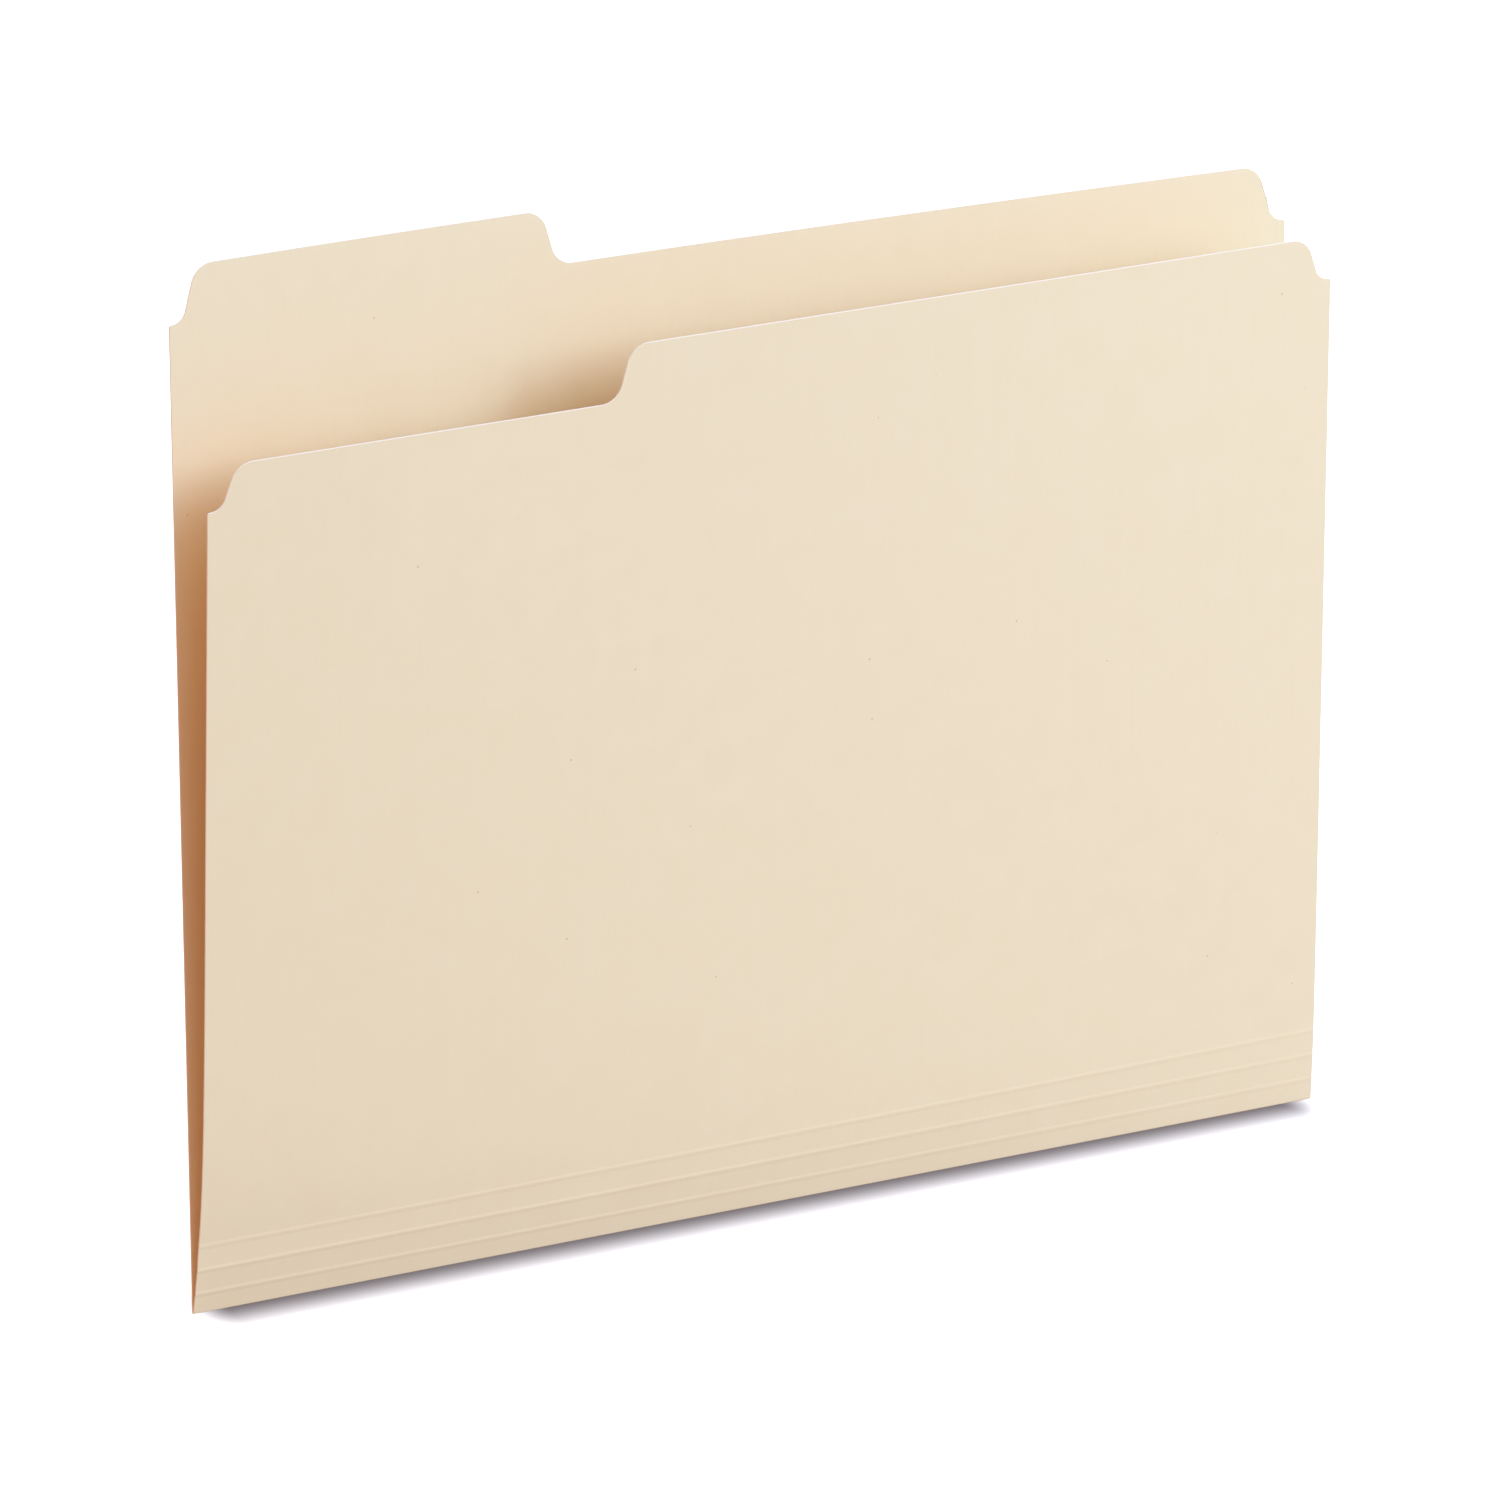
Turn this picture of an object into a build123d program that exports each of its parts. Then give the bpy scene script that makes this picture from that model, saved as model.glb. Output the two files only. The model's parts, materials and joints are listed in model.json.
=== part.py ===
from build123d import *
import os
from math import cos, radians, sin

# Letter-size manila folder, cut from one sheet of card, folded once along the bottom and scored
# three times beside the fold. Each node is a stretch of that sheet between two creases, or a crease.
# X runs along the fold, the front leaf is on the -Y side and Z is up.
# The origin is under the middle of the main fold, where the folder stands.

# Sheet, in millimetres
folder_width = 298.45      # 11 3/4 in
card = 0.36                # 14-point manila card
first_score_rise = 5.1     # main fold to the first score, up the sheet
score_pitch = 6.2          # from one score to the next
edge_corner = 0.6          # rounding of the shoulders' outer corners

# Back leaf, heights up the sheet from the main fold
back_height = 228.6        # 9 in, to the top edge beside the tab
tab_rise = 12.7            # 1/2 in
tab_end = 98.3             # a third of the width, to the middle of the tab's slanted side
back_right_drop = 13.4     # top edge down to the right shoulder

# Front leaf, heights up the sheet from the main fold
front_height = 214.7       # to the full top edge
undercut_depth = 12.9      # how far the edge in front of the tab is cut down
undercut_end = 104.8       # to the middle of the step up to the full edge
front_shoulder_drop = 10.3 # top edges down to the shoulders

# Steps in the top edges
shoulder = 3.4             # flat ledge at each end of a leaf
step_run = 3.6             # sideways run of a step's slanted side
outer_round = 5.5          # radius where a step turns out of a top edge
ledge_round = 3.5          # radius where an end step turns into its ledge
notch_round = 5.0          # radius where a middle step turns into the lower top edge

# Creases
leaf_gap = 0.1             # between the inner faces where the folded leaves lie together
score_radius = 0.3         # the pressed ridge of a score
crease_clearance = 0.05    # running gap between a crease and the card beside it
foot_depth = 0.06          # how far the main fold is pressed flat underneath

# Leans from upright at rest, in degrees
back_lean_deg = 3.0
lower_lean_deg = 11.0
middle_lean_deg = 10.0
upper_lean_deg = 7.0
front_lean_deg = 2.0

fold_radius = leaf_gap / 2 + card
fold_height = fold_radius - foot_depth
fold_reach = fold_radius + crease_clearance
score_reach = score_radius + crease_clearance
third_score_rise = first_score_rise + 2 * score_pitch


def up_the_sheet(lean):
    """Direction up a stretch of card that leans towards the front by lean degrees."""
    return Vector(0, -sin(radians(lean)), cos(radians(lean)))


def out_of_the_sheet(lean):
    """Direction square to that stretch, towards the front."""
    return Vector(0, -cos(radians(lean)), -sin(radians(lean)))


def cross_section(origin, lean):
    """Plane across the sheet: its x goes up the card, its y towards the front."""
    return Plane(origin=origin, x_dir=up_the_sheet(lean), z_dir=Vector(1, 0, 0))


def leaf_plane(origin, lean):
    """Plane of a leaf seen from the front: its x goes along the fold, its y up the card."""
    return Plane(origin=origin, x_dir=Vector(1, 0, 0), z_dir=out_of_the_sheet(lean))


# Crease axes, from the main fold up the front of the sheet
fold_axis = Vector(0, 0, fold_height)
half_card_out = out_of_the_sheet(lower_lean_deg) * (leaf_gap / 2 + card / 2)
first_axis = fold_axis + half_card_out + up_the_sheet(lower_lean_deg) * first_score_rise
second_axis = first_axis + up_the_sheet(middle_lean_deg) * score_pitch
third_axis = second_axis + up_the_sheet(upper_lean_deg) * score_pitch


def leaf_face(bottom, left_ledge, left_top, step_at, right_top, right_ledge):
    """Leaf outline: a ledge, a step up, the middle step, a step down and a ledge, left to right."""
    left = -folder_width / 2
    right = folder_width / 2
    middle = left + step_at
    rises = right_top > left_top
    corners = [
        (left, left_ledge, edge_corner),
        (left + shoulder, left_ledge, ledge_round),
        (left + shoulder + step_run, left_top, outer_round),
        (middle - step_run / 2, left_top, notch_round if rises else outer_round),
        (middle + step_run / 2, right_top, outer_round if rises else notch_round),
        (right - shoulder - step_run, right_top, outer_round),
        (right - shoulder, right_ledge, ledge_round),
        (right, right_ledge, edge_corner),
    ]
    points = [(left, bottom)] + [(x, y) for x, y, _ in corners] + [(right, bottom)]
    with BuildSketch() as face:
        with BuildLine():
            FilletPolyline(*points, radius=[radius for _, _, radius in corners])
            Line(points[-1], points[0])
        make_face()
    return face.sketch


# Back leaf: the taller half of the sheet, with the tab at its left end
back_face = leaf_face(
    bottom=fold_reach,
    left_ledge=back_height,
    left_top=back_height + tab_rise,
    step_at=tab_end,
    right_top=back_height,
    right_ledge=back_height - back_right_drop,
)
with BuildPart() as back_leaf:
    with BuildSketch(leaf_plane(fold_axis, -back_lean_deg).offset(-leaf_gap / 2)):
        add(back_face)
    extrude(amount=-card)

# Main fold: the rounded bend between the two halves, pressed flat where the folder stands on it
with BuildPart() as main_fold:
    with BuildSketch(Plane.YZ):
        with Locations((0, fold_height)):
            Circle(fold_radius)
        Rectangle(
            2 * fold_radius,
            2 * fold_radius,
            align=(Align.CENTER, Align.MAX),
            mode=Mode.SUBTRACT,
        )
    extrude(amount=folder_width / 2, both=True)

# Lower gusset strip, from the main fold to the first score
with BuildPart() as lower_gusset:
    with BuildSketch(cross_section(fold_axis, lower_lean_deg)):
        with Locations((fold_reach, leaf_gap / 2)):
            Rectangle(first_score_rise - fold_reach - score_reach, card, align=Align.MIN)
    extrude(amount=folder_width / 2, both=True)

# Middle gusset strip, from the first score to the second
with BuildPart() as middle_gusset:
    with BuildSketch(cross_section(first_axis, middle_lean_deg)):
        with Locations((score_reach, 0)):
            Rectangle(score_pitch - 2 * score_reach, card, align=(Align.MIN, Align.CENTER))
    extrude(amount=folder_width / 2, both=True)

# Upper gusset strip, from the second score to the third
with BuildPart() as upper_gusset:
    with BuildSketch(cross_section(second_axis, upper_lean_deg)):
        with Locations((score_reach, 0)):
            Rectangle(score_pitch - 2 * score_reach, card, align=(Align.MIN, Align.CENTER))
    extrude(amount=folder_width / 2, both=True)

# Front leaf: the shorter half above the third score, cut down in front of the tab
front_top = front_height - third_score_rise
undercut_top = front_top - undercut_depth
front_face = leaf_face(
    bottom=score_reach,
    left_ledge=undercut_top - front_shoulder_drop,
    left_top=undercut_top,
    step_at=undercut_end,
    right_top=front_top,
    right_ledge=front_top - front_shoulder_drop,
)
with BuildPart() as front_leaf:
    with BuildSketch(leaf_plane(third_axis, front_lean_deg).offset(-card / 2)):
        add(front_face)
    extrude(amount=card)


def score_ridge(axis):
    """Pressed ridge of a score, round about the line that the card bends on."""
    with BuildPart() as ridge:
        with BuildSketch(Plane.YZ):
            with Locations((axis.Y, axis.Z)):
                Circle(score_radius)
        extrude(amount=folder_width / 2, both=True)
    return ridge


nodes = {
    "back_leaf": back_leaf,
    "main_fold": main_fold,
    "lower_gusset": lower_gusset,
    "first_score": score_ridge(first_axis),
    "middle_gusset": middle_gusset,
    "second_score": score_ridge(second_axis),
    "upper_gusset": upper_gusset,
    "third_score": score_ridge(third_axis),
    "front_leaf": front_leaf,
}
os.makedirs("parts", exist_ok=True)
for name, node in nodes.items():
    node.part.label = name
    export_step(node.part, f"parts/{name}.step")

creases = {
    "main fold": fold_axis,
    "first score": first_axis,
    "second score": second_axis,
    "third score": third_axis,
}
for name, axis in creases.items():
    print(f"{name} axis: y {axis.Y:.4f}, z {axis.Z:.4f}")
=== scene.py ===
import json
import math

import bmesh
import bpy
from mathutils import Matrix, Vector


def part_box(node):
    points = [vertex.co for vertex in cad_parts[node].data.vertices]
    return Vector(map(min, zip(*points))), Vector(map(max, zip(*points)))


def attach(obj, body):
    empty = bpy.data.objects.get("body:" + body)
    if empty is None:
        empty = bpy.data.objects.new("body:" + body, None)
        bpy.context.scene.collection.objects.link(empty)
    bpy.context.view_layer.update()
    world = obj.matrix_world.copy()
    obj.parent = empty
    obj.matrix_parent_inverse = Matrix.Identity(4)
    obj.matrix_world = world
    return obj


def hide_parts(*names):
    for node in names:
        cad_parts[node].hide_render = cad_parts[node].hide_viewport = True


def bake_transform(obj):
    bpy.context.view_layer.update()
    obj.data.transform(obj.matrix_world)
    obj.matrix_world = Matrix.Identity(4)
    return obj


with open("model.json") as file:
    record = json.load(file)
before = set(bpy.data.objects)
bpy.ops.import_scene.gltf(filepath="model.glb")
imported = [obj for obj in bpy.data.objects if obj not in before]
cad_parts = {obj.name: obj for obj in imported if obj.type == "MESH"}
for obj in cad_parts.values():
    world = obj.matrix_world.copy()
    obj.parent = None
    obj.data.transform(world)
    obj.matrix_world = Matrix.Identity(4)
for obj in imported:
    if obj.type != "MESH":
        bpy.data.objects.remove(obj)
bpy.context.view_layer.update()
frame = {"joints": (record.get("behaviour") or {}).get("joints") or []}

# Back leaf
# The taller rear half of the sheet, die-cut from buff manila card in one piece with its tab.
# It carries on out of the main fold, leans back and is slightly twisted, most at its right end.
mm = 0.001                            # the frame is in metres
card = 0.36 * mm                      # 14-point card
leaf_gap = 0.1 * mm                   # between the inner faces where the folded halves meet
half_bend = (leaf_gap + card) / 2     # fold axis to the middle of the card beside it
fold_take_up = 1.0 * mm               # how far up each half of the sheet the bend's own piece reaches
leaf_low, leaf_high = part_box("back_leaf")
left, right = leaf_low.x, leaf_high.x
joints = {joint["name"]: joint for joint in frame["joints"]}
fold_axis = Vector(joints["back_open"]["pos_m"])

back_height = 228.6 * mm              # up the sheet from the fold to the top edge beside the tab
tab_rise = 12.7 * mm
tab_end = 98.3 * mm                   # left edge to the middle of the tab's slanted side
back_right_drop = 13.4 * mm           # top edge down to the right ledge
shoulder = 3.4 * mm                   # flat ledge at each end of a leaf
step_run = 3.6 * mm                   # sideways run of a step's slanted side
square_corner = 0.6 * mm              # rounding of the ledges' outer corners
outer_round = 5.5 * mm                # rounding where a step turns out of a top edge
ledge_round = 3.5 * mm                # rounding where an end step turns into its ledge
notch_round = 5.0 * mm                # rounding where a middle step turns into the lower top edge
eased = 0.15 * mm                     # how far the die rounds the card's cut edges

# Lean from upright in degrees: in the middle, gained to the right and lost to the left, gained at both ends
back_lean_degrees = (3.666, 2.519, -0.988)

# The flat card is cut into this many columns and rows, so that it can follow the sheet's bends
column_count = 60
back_row_count = 30
columns = [left + (right - left) * i / column_count for i in range(1, column_count)]


def linear(hex_colour):
    """A hex sRGB colour as the linear values that a shader's socket takes."""
    parts = [int(hex_colour[i:i + 2], 16) / 255 for i in (1, 3, 5)]
    return [p / 12.92 if p <= 0.04045 else ((p + 0.055) / 1.055) ** 2.4 for p in parts] + [1.0]


def add_node(tree, kind, settings, links=()):
    """Adds a node, fills its properties and sockets, and links (socket, output) pairs into it."""
    node = tree.nodes.new(kind)
    for key, value in settings.items():
        if isinstance(key, int) or key in node.inputs:
            node.inputs[key].default_value = value
        else:
            setattr(node, key, value)
    for key, output in links:
        tree.links.new(output, node.inputs[key])
    return node


# Manila card: uncoated semi-bleached stock, calendered smooth. The eye gets a matt, warm buff with a
# soft cloudiness, faint streaks along the grain and now and then a stray brown speck of fibre.
cloud_size = 9 * mm
streak_size = (1.1 * mm, 6 * mm, 75 * mm)
speck_spacing = 8 * mm
speck_edge = 0.32 * mm                # speck's middle to where it has faded into the card
speck_core = 0.16 * mm                # speck's middle to where it starts to fade
speck_strength = 0.5
bare_share = 0.72                     # of the places for a speck, those that stay bare
tooth_size = 0.7 * mm                 # drawn coarser than the real felt of fibres, so that it shows
tooth_depth = 0.05 * mm
factor, first_colour, second_colour, mixed = 0, 6, 7, 2  # sockets of a Mix node that mixes colours
manila_card = bpy.data.materials.new("manila_card_calendered")
manila_card.use_nodes = True
tree = manila_card.node_tree
shader = tree.nodes["Principled BSDF"]
shader.inputs["Roughness"].default_value = 0.68
shader.inputs["IOR"].default_value = 1.48
shader.inputs["Specular IOR Level"].default_value = 0.3
place = add_node(tree, "ShaderNodeTexCoord", {}).outputs["Object"]
clouds = add_node(
    tree,
    "ShaderNodeTexNoise",
    {"Scale": 1 / cloud_size, "Detail": 5.0, "Roughness": 0.62},
    [("Vector", place)],
)
along_grain = add_node(
    tree,
    "ShaderNodeMapping",
    {"Scale": [1 / size for size in streak_size]},
    [("Vector", place)],
)
streaks = add_node(
    tree,
    "ShaderNodeTexNoise",
    {"Scale": 1.0, "Detail": 3.0, "Roughness": 0.55},
    [("Vector", along_grain.outputs["Vector"])],
)
cloudy = add_node(
    tree,
    "ShaderNodeMix",
    {"data_type": "RGBA", first_colour: linear("#EFDDB4"), second_colour: linear("#F2E2BC")},
    [(factor, clouds.outputs["Fac"])],
)
streaked = add_node(
    tree,
    "ShaderNodeMapRange",
    {"From Min": 0.3, "From Max": 0.7, "To Min": 0.996, "To Max": 1.004},
    [("Value", streaks.outputs["Fac"])],
)
grained = add_node(
    tree,
    "ShaderNodeMix",
    {"data_type": "RGBA", "blend_type": "MULTIPLY", factor: 1.0},
    [(first_colour, cloudy.outputs[mixed]), (second_colour, streaked.outputs["Result"])],
)
specks = add_node(
    tree,
    "ShaderNodeTexVoronoi",
    {"Scale": 1 / speck_spacing, "Randomness": 1.0},
    [("Vector", place)],
)
near_speck = add_node(
    tree,
    "ShaderNodeMapRange",
    {
        "From Min": speck_edge / speck_spacing,
        "From Max": speck_core / speck_spacing,
        "To Min": 0.0,
        "To Max": speck_strength,
    },
    [("Value", specks.outputs["Distance"])],
)
speck_draw = add_node(tree, "ShaderNodeSeparateColor", {}, [("Color", specks.outputs["Color"])])
few_brown = add_node(
    tree,
    "ShaderNodeMath",
    {"operation": "GREATER_THAN", 1: bare_share},
    [(0, speck_draw.outputs["Red"])],
)
brown_here = add_node(
    tree,
    "ShaderNodeMath",
    {"operation": "MULTIPLY"},
    [(0, near_speck.outputs["Result"]), (1, few_brown.outputs["Value"])],
)
specked = add_node(
    tree,
    "ShaderNodeMix",
    {"data_type": "RGBA", second_colour: linear("#B9935F")},
    [(factor, brown_here.outputs["Value"]), (first_colour, grained.outputs[mixed])],
)
tree.links.new(specked.outputs[mixed], shader.inputs["Base Color"])
tooth = add_node(
    tree,
    "ShaderNodeTexNoise",
    {"Scale": 1 / tooth_size, "Detail": 2.0},
    [("Vector", place)],
)
pressed = add_node(
    tree,
    "ShaderNodeBump",
    {"Strength": 0.12, "Distance": tooth_depth},
    [("Height", tooth.outputs["Fac"])],
)
tree.links.new(pressed.outputs["Normal"], shader.inputs["Normal"])

# Cut edge of the same card: the die leaves the pale inner fibres bare, and the eye gets a dull,
# light cream line that is a little uneven. The cream is set paler than the bare fibres alone, as a painted
# highlight for the bright line of light along the cut edges.
fray_size = 1.5 * mm
cut_edge = bpy.data.materials.new("manila_card_cut_edge")
cut_edge.use_nodes = True
tree = cut_edge.node_tree
shader = tree.nodes["Principled BSDF"]
shader.inputs["Roughness"].default_value = 0.85
shader.inputs["IOR"].default_value = 1.48
shader.inputs["Specular IOR Level"].default_value = 0.15
place = add_node(tree, "ShaderNodeTexCoord", {}).outputs["Object"]
frayed = add_node(
    tree,
    "ShaderNodeTexNoise",
    {"Scale": 1 / fray_size, "Detail": 3.0},
    [("Vector", place)],
)
# Paler than the bare fibres alone: a painted highlight along the cut edges
pale = add_node(
    tree,
    "ShaderNodeMix",
    {"data_type": "RGBA", first_colour: linear("#F4ECDC"), second_colour: linear("#FAF5EB")},
    [(factor, frayed.outputs["Fac"])],
)
tree.links.new(pale.outputs[mixed], shader.inputs["Base Color"])


def leaf_corners(foot, left_ledge, left_top, step_at, right_top, right_ledge):
    """Corners of a leaf laid flat, left to right, each with how round it is."""
    step = left + step_at
    rises = right_top > left_top
    return [
        (left, foot, 0),
        (left, left_ledge, square_corner),
        (left + shoulder, left_ledge, ledge_round),
        (left + shoulder + step_run, left_top, outer_round),
        (step - step_run / 2, left_top, notch_round if rises else outer_round),
        (step + step_run / 2, right_top, outer_round if rises else notch_round),
        (right - shoulder - step_run, right_top, outer_round),
        (right - shoulder, right_ledge, ledge_round),
        (right, right_ledge, square_corner),
        (right, foot, 0),
    ]


def cut_across(rows):
    """Cuts the card in edit mode along the columns and at these heights."""
    cuts = [((x, 0, 0), (1, 0, 0)) for x in columns] + [((0, 0, s), (0, 0, 1)) for s in rows]
    for place, way in cuts:
        bpy.ops.mesh.select_all(action="SELECT")
        bpy.ops.mesh.bisect(plane_co=place, plane_no=way, threshold=0.0001 * mm)


facing = 0.9  # a face looks along an axis where this much of its normal lies on that axis


def ease_cut_edges(piece):
    """Takes the sharp corner off the die-cut edges on both faces, but not where the sheet carries on."""
    bpy.ops.object.mode_set(mode="EDIT")
    bpy.ops.mesh.select_mode(type="EDGE")
    bpy.ops.mesh.select_all(action="DESELECT")
    card_mesh = bmesh.from_edit_mesh(piece.data)
    card_mesh.normal_update()
    for edge in card_mesh.edges:
        rims = [f for f in edge.link_faces if f.material_index == 1 and f.normal.z > -facing]
        faces = [f for f in edge.link_faces if abs(f.normal.y) > facing]
        edge.select_set(len(rims) == 1 and len(faces) == 1)
    bmesh.update_edit_mesh(piece.data)
    bpy.ops.mesh.bevel(affect="EDGES", offset=eased, offset_type="OFFSET", segments=1, material=1)
    bpy.ops.object.mode_set(mode="OBJECT")


same_point = 0.02 * mm  # points nearer than this to a corner of the outline are that corner
square_segments = 3
round_segments = 8


def die_cut(name, corners, rows):
    """Traces a leaf's outline corner by corner, fills and rounds it, and gives it the card's thickness."""
    bpy.ops.object.select_all(action="DESELECT")
    bpy.ops.mesh.primitive_plane_add(size=mm)
    leaf = bpy.context.object
    leaf.name = name
    leaf.data.materials.append(manila_card)
    leaf.data.materials.append(cut_edge)
    bpy.ops.object.mode_set(mode="EDIT")
    bpy.ops.mesh.select_mode(type="VERT")
    bpy.ops.mesh.merge(type="CENTER")
    bpy.ops.transform.translate(value=(corners[0][0], 0, corners[0][1]))
    for (x, s, _), (next_x, next_s, _) in zip(corners, corners[1:]):
        step = (next_x - x, 0, next_s - s)
        bpy.ops.mesh.extrude_vertices_move(TRANSFORM_OT_translate={"value": step})
    bpy.ops.mesh.select_all(action="SELECT")
    bpy.ops.mesh.edge_face_add()
    for before, (x, s, rounding), after in zip(corners, corners[1:], corners[2:]):
        way_in = Vector((x, s)) - Vector(before[:2])
        way_out = Vector(after[:2]) - Vector((x, s))
        outline = bmesh.from_edit_mesh(leaf.data)
        bpy.ops.mesh.select_all(action="DESELECT")
        for point in outline.verts:
            point.select = (point.co - Vector((x, 0, s))).length < same_point
        bmesh.update_edit_mesh(leaf.data)
        bpy.ops.mesh.bevel(
            affect="VERTICES",
            offset=rounding * math.tan(way_in.angle(way_out) / 2),
            segments=square_segments if rounding == square_corner else round_segments,
            profile=0.5,
        )
    cut_across(rows)
    bpy.ops.object.mode_set(mode="OBJECT")
    bpy.ops.object.modifier_add(type="SOLIDIFY")
    thickness = leaf.modifiers["Solidify"]
    thickness.thickness = card
    thickness.offset = 0
    thickness.material_offset_rim = 1
    bpy.ops.object.modifier_apply(modifier="Solidify")
    ease_cut_edges(leaf)
    return leaf


def stand_up(piece, sheet):
    """Moves each point of the flat card to its place on the standing sheet and smooths the faces."""
    for point in piece.data.vertices:
        point.co = sheet(*point.co)
    bpy.ops.object.select_all(action="DESELECT")
    piece.select_set(True)
    bpy.context.view_layer.objects.active = piece
    bpy.ops.object.mode_set(mode="EDIT")
    bpy.ops.mesh.select_all(action="SELECT")
    bpy.ops.mesh.normals_make_consistent(inside=False)
    bpy.ops.object.mode_set(mode="OBJECT")
    bpy.ops.object.shade_smooth_by_angle(angle=math.radians(40))


def along_fold(x, values):
    """A value that changes along the fold, at x, from what it has in the middle, its twist and its bow."""
    middle, twist, bow = values
    along = 2 * x / (right - left)
    return middle + twist * along + bow * along ** 2


def up_the_card(lean):
    """Direction up a stretch of card that leans to the rear by lean radians, or to the front below 0."""
    return Vector((0, math.sin(lean), math.cos(lean)))


def rear_of_card(lean):
    """Direction square to that stretch, to the rear."""
    return Vector((0, math.cos(lean), -math.sin(lean)))


def back_lean(x):
    """How far the back half leans to the rear at this place along the fold."""
    return math.radians(along_fold(x, back_lean_degrees))


def back_sheet(x, y, s):
    """A point of the back half: x along the fold, s up the card and y out of it, to the rear."""
    lean = back_lean(x)
    return Vector((x, 0, 0)) + fold_axis + rear_of_card(lean) * (half_bend + y) + up_the_card(lean) * s


back_corners = leaf_corners(
    foot=fold_take_up,
    left_ledge=back_height,
    left_top=back_height + tab_rise,
    step_at=tab_end,
    right_top=back_height,
    right_ledge=back_height - back_right_drop,
)
back_row = (back_height - fold_take_up) / back_row_count
back_rows = [fold_take_up + back_row * i for i in range(1, back_row_count)]
back_leaf = die_cut("back_leaf_card", back_corners, back_rows)
stand_up(back_leaf, back_sheet)
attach(back_leaf, "back")
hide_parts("back_leaf")

# Main fold
# The bend that the folder stands on: the card's grain is cracked over once and pressed flat underneath.
# Each half turns from the foot up into its own side of the sheet, so that either side can be opened.
quarter_turn = half_bend * math.pi / 2  # length of card from the foot to where a half runs straight
bend_row_count = 14


def card_strip(name, low, high, row_count):
    """A straight strip of flat card the folder's width long, from low to high up the sheet."""
    bpy.ops.object.select_all(action="DESELECT")
    bpy.ops.mesh.primitive_cube_add(
        size=1,
        location=((left + right) / 2, 0, (low + high) / 2),
        scale=(right - left, card, high - low),
    )
    strip = bpy.context.object
    strip.name = name
    strip.data.materials.append(manila_card)
    strip.data.materials.append(cut_edge)
    bpy.ops.object.transform_apply(location=True, rotation=False, scale=True)
    bpy.ops.object.mode_set(mode="EDIT")
    cut_across([low + (high - low) * i / row_count for i in range(1, row_count)])
    bpy.ops.object.mode_set(mode="OBJECT")
    for face in strip.data.polygons:
        face.material_index = 1 if abs(face.normal.x) > facing else 0
    ease_cut_edges(strip)
    return strip


def round_the_fold(x, out, turn):
    """A point of the bend, turn radians round the fold axis from straight below it towards the rear."""
    reach = half_bend + out
    point = fold_axis + Vector((x, math.sin(turn) * reach, -math.cos(turn) * reach))
    point.z = max(point.z, 0)
    return point


def back_bend(x, y, s):
    """A point of the rear half of the bend, which runs straight where s is above 0."""
    if s >= 0:
        return back_sheet(x, y, s)
    return round_the_fold(x, y, (math.pi / 2 - back_lean(x)) * (1 + s / quarter_turn))


def edge_heights(sheet, s):
    """Heights of the card's edge that lies s up the flat sheet."""
    return [sheet(x, y, s).z for x in [left, *columns, right] for y in (-card / 2, card / 2)]


fold_back = card_strip("main_fold_rear_half", -quarter_turn, fold_take_up, bend_row_count)
stand_up(fold_back, back_bend)
min(edge_heights(back_sheet, fold_take_up))
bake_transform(fold_back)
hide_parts("main_fold")

# Front half of the main fold
# The front half of the sheet starts with the same bend and goes on in strips between three scores. These
# were pressed from the inside, so that each stands out as a ridge, which is sharper above than below and
# fades to the right.
first_score_rise = 5.1 * mm           # main fold to the first score, up the sheet
score_pitch = 6.2 * mm                # from one score to the next
score_rises = [first_score_rise + score_pitch * i for i in range(3)]
strip_leans = [11.0, 10.0, 7.0]       # degrees to the front, from the lowest strip up
ridge_height = 0.11 * mm
ridge_above = 0.8 * mm                # how far a ridge runs out up the card
ridge_below = 1.1 * mm                # and down the card
ridge_fade = 0.4                      # share of its height that a ridge has lost at the right end
leaf_bow = 16 * mm                    # how fast the front leaf straightens above the third score

# In the middle, gained to the right and lost to the left, gained at both ends: the share of their lean that
# the strips have, the lean of the straight front leaf, and what it leans more just above the third score
strip_shares = (1.0, -0.549, -0.24)
front_lean_degrees = (1.66, -1.729, 0.0)
bow_lean_degrees = (3.3, -4.5, 2.0)


def ridge(x, s):
    """How far a score lifts the card at this place."""
    fade = 1 - ridge_fade * (x - left) / (right - left)
    for rise in score_rises:
        way = s - rise
        width = ridge_above if way > 0 else ridge_below
        if abs(way) < width:
            return ridge_height * fade * (0.5 + 0.5 * math.cos(math.pi * way / width))
    return 0.0


def strip_lean(x, degrees):
    """How far a strip leans to the front at this place along the fold."""
    return math.radians(degrees * along_fold(x, strip_shares))


def front_sheet(x, y, s):
    """A point of the front half: x along the fold, s up the card and y out of it, to the rear."""
    lean = strip_lean(x, strip_leans[0])
    place = Vector((x, 0, 0)) + fold_axis - rear_of_card(-lean) * half_bend
    below = 0.0
    for rise, degrees in zip(score_rises, strip_leans):
        lean = strip_lean(x, degrees)
        place += up_the_card(-lean) * (min(s, rise) - below)
        below = rise
        if s <= rise:
            break
    else:
        # Above the third score the leaf's lean settles from the bow into the straight leaf's
        run = s - below
        straight = math.radians(along_fold(x, front_lean_degrees))
        spread = math.radians(along_fold(x, bow_lean_degrees))
        left_over = math.exp(-run / leaf_bow)
        lean = straight + spread * left_over
        place.y -= math.sin(straight) * run + spread * leaf_bow * (1 - left_over)
        place.z += math.cos(straight) * run
    return place - rear_of_card(-lean) * (ridge(x, s) - y)


def front_bend(x, y, s):
    """A point of the front half of the bend, which runs straight where s is above 0."""
    if s >= 0:
        return front_sheet(x, y, s)
    lean = strip_lean(x, strip_leans[0])
    return round_the_fold(x, -y, -(math.pi / 2 - lean) * (1 + s / quarter_turn))


fold_front = card_strip("main_fold_front_half", -quarter_turn, fold_take_up, bend_row_count)
stand_up(fold_front, front_bend)
min(edge_heights(front_sheet, fold_take_up))
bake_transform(fold_front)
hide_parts("main_fold")

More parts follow.
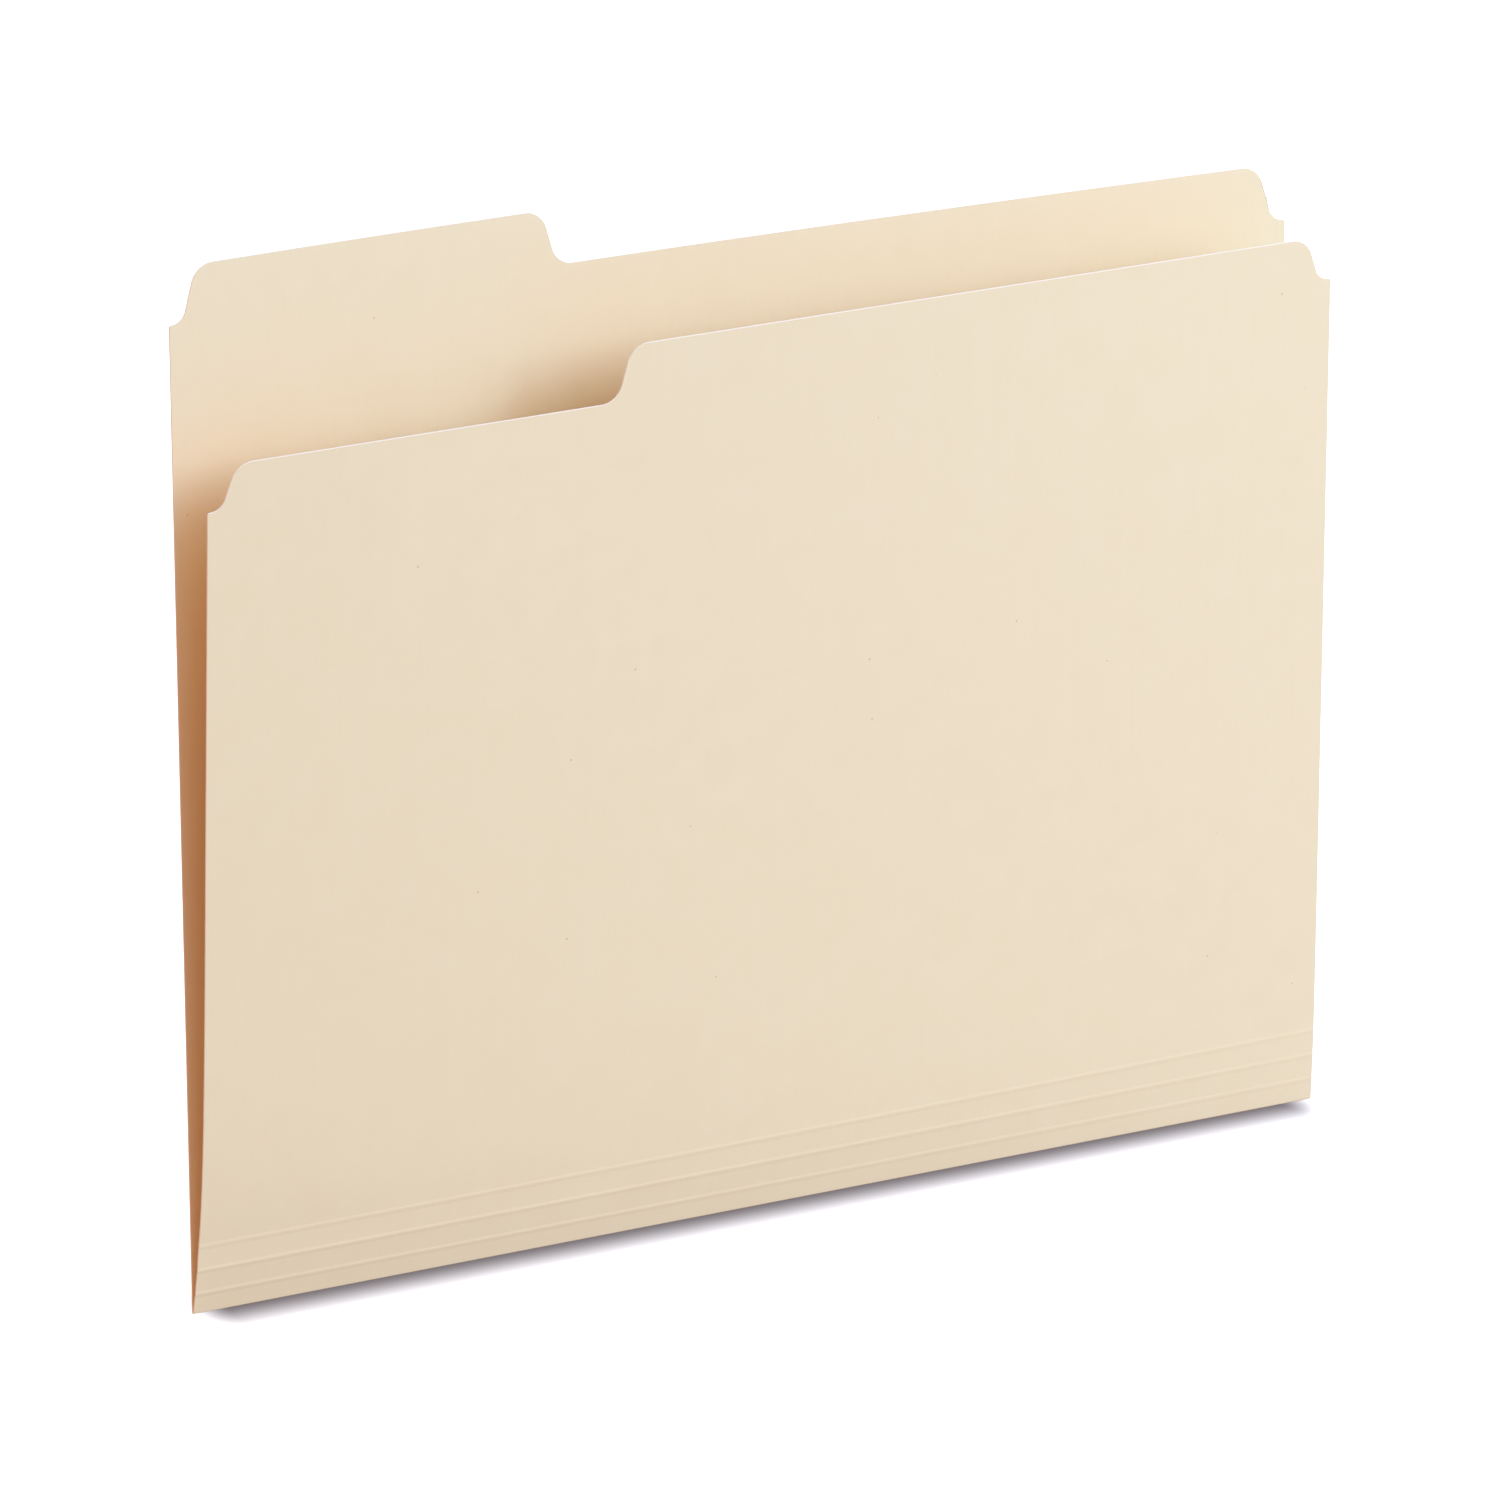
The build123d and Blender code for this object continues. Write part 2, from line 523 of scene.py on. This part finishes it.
# Gusset strips and scores
# Three straight strips of the same card between the main fold and the front leaf, which let the folder
# widen as it fills. Each score between them is a pressed ridge that the card bends on.
crease_reach = max(ridge_above, ridge_below)  # how far up and down the card a score's own piece reaches
strip_row_count = 4
crease_row_count = 16
strips = [
    ("lower", "lower_strip", fold_take_up, score_rises[0] - crease_reach),
    ("middle", "middle_strip", score_rises[0] + crease_reach, score_rises[1] - crease_reach),
    ("upper", "upper_strip", score_rises[1] + crease_reach, score_rises[2] - crease_reach),
]
for name, body, low, high in strips:
    strip = card_strip(f"{name}_gusset_card", low, high, strip_row_count)
    stand_up(strip, front_sheet)
    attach(strip, body)
    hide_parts(f"{name}_gusset")

scores = [
    ("first_score", score_rises[0], "lower_strip", "middle_strip"),
    ("second_score", score_rises[1], "middle_strip", "upper_strip"),
    ("third_score", score_rises[2], "upper_strip", "front"),
]
for name, rise, below, above in scores:
    crease = card_strip(f"{name}_ridge", rise - crease_reach, rise + crease_reach, crease_row_count)
    stand_up(crease, front_sheet)
    start = (0, 0, max(edge_heights(front_sheet, rise - crease_reach)))
    end = (0, 0, min(edge_heights(front_sheet, rise + crease_reach)))
    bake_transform(crease)
    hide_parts(name)

# Front leaf
# The lower front half above the third score, die-cut from the same sheet. Its edge in front of the tab
# is cut down so that a name on the tab can be read, and it steps up to its full height beside it.
front_height = 214.7 * mm             # up the sheet from the fold to the full top edge
undercut_depth = 12.9 * mm            # how far the edge in front of the tab is cut down
undercut_end = 104.8 * mm             # left edge to the middle of the step up to the full edge
front_shoulder_drop = 10.3 * mm       # top edges down to the ledges
undercut_top = front_height - undercut_depth
front_foot = score_rises[2] + crease_reach
front_corners = leaf_corners(
    foot=front_foot,
    left_ledge=undercut_top - front_shoulder_drop,
    left_top=undercut_top,
    step_at=undercut_end,
    right_top=front_height,
    right_ledge=front_height - front_shoulder_drop,
)
bow_row, bow_row_count = 2 * mm, 15   # close rows where the leaf bows out of the third score
flat_row, flat_row_count = 6 * mm, 27  # wider ones above them
bow_top = front_foot + bow_row * bow_row_count
front_rows = [front_foot + bow_row * i for i in range(1, bow_row_count + 1)]
front_rows += [bow_top + flat_row * i for i in range(1, flat_row_count + 1)]
front_leaf = die_cut("front_leaf_card", front_corners, front_rows)
stand_up(front_leaf, front_sheet)
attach(front_leaf, "front")
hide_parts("front_leaf")

# Studio
# A pale seamless floor lit past white, and cool walls, brightest near the floor and warm at the left.
# A large soft light stands at the front right, a weak one shines from far off in front and another from
# behind. The long-lens camera has the height and the side that the folder is seen from.
floor_width = 40.0                    # metres
bpy.ops.object.select_all(action="DESELECT")
bpy.ops.mesh.primitive_plane_add(size=floor_width)
floor = bpy.context.object
floor.name = "studio_floor"
# The white floor throws no light back on the card: what comes from below is the dim part of the walls.
floor.visible_diffuse = False
# Floor paint: matt white, lit up to pure white, with the soft grey contact shade along the fold that the
# folder stands on. The shade is painted, as the bright floor itself would wash out a real one.
shade_reach = 16 * mm                 # from the fold to where the shade has gone
shade_fade_from = right - 9 * mm      # along the fold from its middle, where the shade starts to fade
shade_fade_to = right + 1.5 * mm      # and where it has gone
shade_falloff = 1.6
floor_paint = bpy.data.materials.new("studio_floor_matt_white")
floor_paint.use_nodes = True
tree = floor_paint.node_tree
shader = tree.nodes["Principled BSDF"]
shader.inputs["Roughness"].default_value = 0.9
shader.inputs["Specular IOR Level"].default_value = 0.0
shader.inputs["Emission Strength"].default_value = 0.9
place = add_node(tree, "ShaderNodeTexCoord", {}).outputs["Object"]
axes = add_node(tree, "ShaderNodeSeparateXYZ", {}, [("Vector", place)])
from_middle = add_node(tree, "ShaderNodeMath", {"operation": "ABSOLUTE"}, [(0, axes.outputs["X"])])
past_end = add_node(
    tree,
    "ShaderNodeMapRange",
    {"From Min": shade_fade_from, "From Max": shade_fade_to, "To Min": 0.0, "To Max": shade_reach},
    [("Value", from_middle.outputs["Value"])],
)
to_fold = add_node(
    tree,
    "ShaderNodeCombineXYZ",
    {},
    [("X", past_end.outputs["Result"]), ("Y", axes.outputs["Y"])],
)
distance = add_node(
    tree,
    "ShaderNodeVectorMath",
    {"operation": "LENGTH"},
    [(0, to_fold.outputs["Vector"])],
)
clear = add_node(
    tree,
    "ShaderNodeMapRange",
    {"From Min": 0.0, "From Max": shade_reach},
    [("Value", distance.outputs["Value"])],
)
softened = add_node(
    tree,
    "ShaderNodeMath",
    {"operation": "POWER", 1: shade_falloff},
    [(0, clear.outputs["Result"])],
)
shaded = add_node(
    tree,
    "ShaderNodeMix",
    {"data_type": "RGBA", first_colour: linear("#605B5D"), second_colour: linear("#F9F9FB")},
    [(factor, softened.outputs["Value"])],
)
tree.links.new(shaded.outputs[mixed], shader.inputs["Base Color"])
tree.links.new(shaded.outputs[mixed], shader.inputs["Emission Color"])
floor.data.materials.append(floor_paint)

# Walls: dim below the floor, bright and cool above it, dimmer overhead, and warm at the left, which gives
# the glow between the leaves. Each pair of numbers is where one of these starts to turn into the next, and
# where it has, on an axis of a unit direction.
floor_to_wall = (-0.1, 0.1)           # upwards
wall_to_ceiling = (0.3, 0.7)          # upwards
left_to_rest = (-0.7, 0.2)            # from left to right
world = bpy.data.worlds.new("studio_walls")
bpy.context.scene.world = world
world.use_nodes = True
tree = world.node_tree
around = add_node(tree, "ShaderNodeTexCoord", {}).outputs["Generated"]
heading = add_node(tree, "ShaderNodeSeparateXYZ", {}, [("Vector", around)])
above_floor = add_node(
    tree,
    "ShaderNodeMapRange",
    {"From Min": floor_to_wall[0], "From Max": floor_to_wall[1]},
    [("Value", heading.outputs["Z"])],
)
near_floor = add_node(
    tree,
    "ShaderNodeMix",
    {"data_type": "RGBA", first_colour: linear("#8899A7"), second_colour: linear("#DBE7FD")},
    [(factor, above_floor.outputs["Result"])],
)
overhead = add_node(
    tree,
    "ShaderNodeMapRange",
    {"From Min": wall_to_ceiling[0], "From Max": wall_to_ceiling[1]},
    [("Value", heading.outputs["Z"])],
)
cool = add_node(
    tree,
    "ShaderNodeMix",
    {"data_type": "RGBA", second_colour: linear("#AAAFBE")},
    [(factor, overhead.outputs["Result"]), (first_colour, near_floor.outputs[mixed])],
)
from_left = add_node(
    tree,
    "ShaderNodeMapRange",
    {"From Min": left_to_rest[0], "From Max": left_to_rest[1]},
    [("Value", heading.outputs["X"])],
)
walls = add_node(
    tree,
    "ShaderNodeMix",
    {"data_type": "RGBA", first_colour: linear("#BA8057")},
    [(factor, from_left.outputs["Result"]), (second_colour, cool.outputs[mixed])],
)
surround = tree.nodes["Background"]
surround.inputs["Strength"].default_value = 1.45
tree.links.new(walls.outputs[mixed], surround.inputs["Color"])
# The camera itself sees a plain white backdrop past the floor.
backdrop = add_node(tree, "ShaderNodeBackground", {"Color": linear("#FFFFFF"), "Strength": 1.0})
ray = add_node(tree, "ShaderNodeLightPath", {})
seen = add_node(
    tree,
    "ShaderNodeMixShader",
    {},
    [
        (0, ray.outputs["Is Camera Ray"]),
        (1, surround.outputs["Background"]),
        (2, backdrop.outputs["Background"]),
    ],
)
tree.links.new(seen.outputs["Shader"], tree.nodes["World Output"].inputs["Surface"])


def seen_from(azimuth, elevation):
    """Direction from the folder, in degrees: azimuth 0 is before the front leaf and 90 to the right."""
    turn, rise = math.radians(azimuth), math.radians(elevation)
    return Vector((math.sin(turn) * math.cos(rise), -math.cos(turn) * math.cos(rise), math.sin(rise)))


def soft_light(name, azimuth, elevation, spread, strength, tint):
    """A far-off soft light, spread over this many degrees, that shines on the folder from this side."""
    towards = seen_from(azimuth, elevation)
    bpy.ops.object.light_add(type="SUN", rotation=towards.to_track_quat("Z", "Y").to_euler())
    light = bpy.context.object
    light.name = name
    light.data.angle = math.radians(spread)
    light.data.energy = strength
    light.data.color = linear(tint)[:3]


soft_light("key_light", azimuth=15, elevation=39, spread=50, strength=0.58, tint="#E6F0FF")
folder_middle = Vector((0, 0, 0.12))
side_place = Vector((1.0, -0.92, 0.75))
side_turn = (side_place - folder_middle).to_track_quat("Z", "Y").to_euler()
bpy.ops.object.light_add(type="AREA", location=side_place, rotation=side_turn)
side_light = bpy.context.object
side_light.name = "side_light"
side_light.data.size = 0.7
side_light.data.energy = 13.6
side_light.data.color = linear("#BCD9FF")[:3]
soft_light("rear_light", azimuth=155, elevation=14, spread=30, strength=2.0, tint="#BCD9FF")

camera_azimuth, camera_elevation = -28.823, 17.19  # degrees
camera_distance = 1.8                 # metres
camera_right, camera_up = -5.216 * mm, -8.92 * mm  # shift from the folder's middle, as the camera sees it
picture_width = 1500                  # pixels
focal_length = 7846.8                 # in the same pixels
sensor_width = 36                     # millimetres
camera_data = bpy.data.cameras.new("studio_camera")
camera = bpy.data.objects.new("studio_camera", camera_data)
bpy.context.scene.collection.objects.link(camera)
back = seen_from(camera_azimuth, camera_elevation)
across = Vector((math.cos(math.radians(camera_azimuth)), math.sin(math.radians(camera_azimuth)), 0))
upward = back.cross(across)
camera.location = folder_middle + across * camera_right + upward * camera_up + back * camera_distance
camera.rotation_mode = "QUATERNION"
camera.rotation_quaternion = (-back).to_track_quat("-Z", "Y")
camera_data.sensor_width = sensor_width
camera_data.lens = sensor_width * focal_length / picture_width
bpy.context.scene.camera = camera
bpy.context.scene.view_settings.view_transform = "Standard"
# Light turns back and forth many times between the leaves before it leaves the narrow gap.
bpy.context.scene.cycles.diffuse_bounces = 10
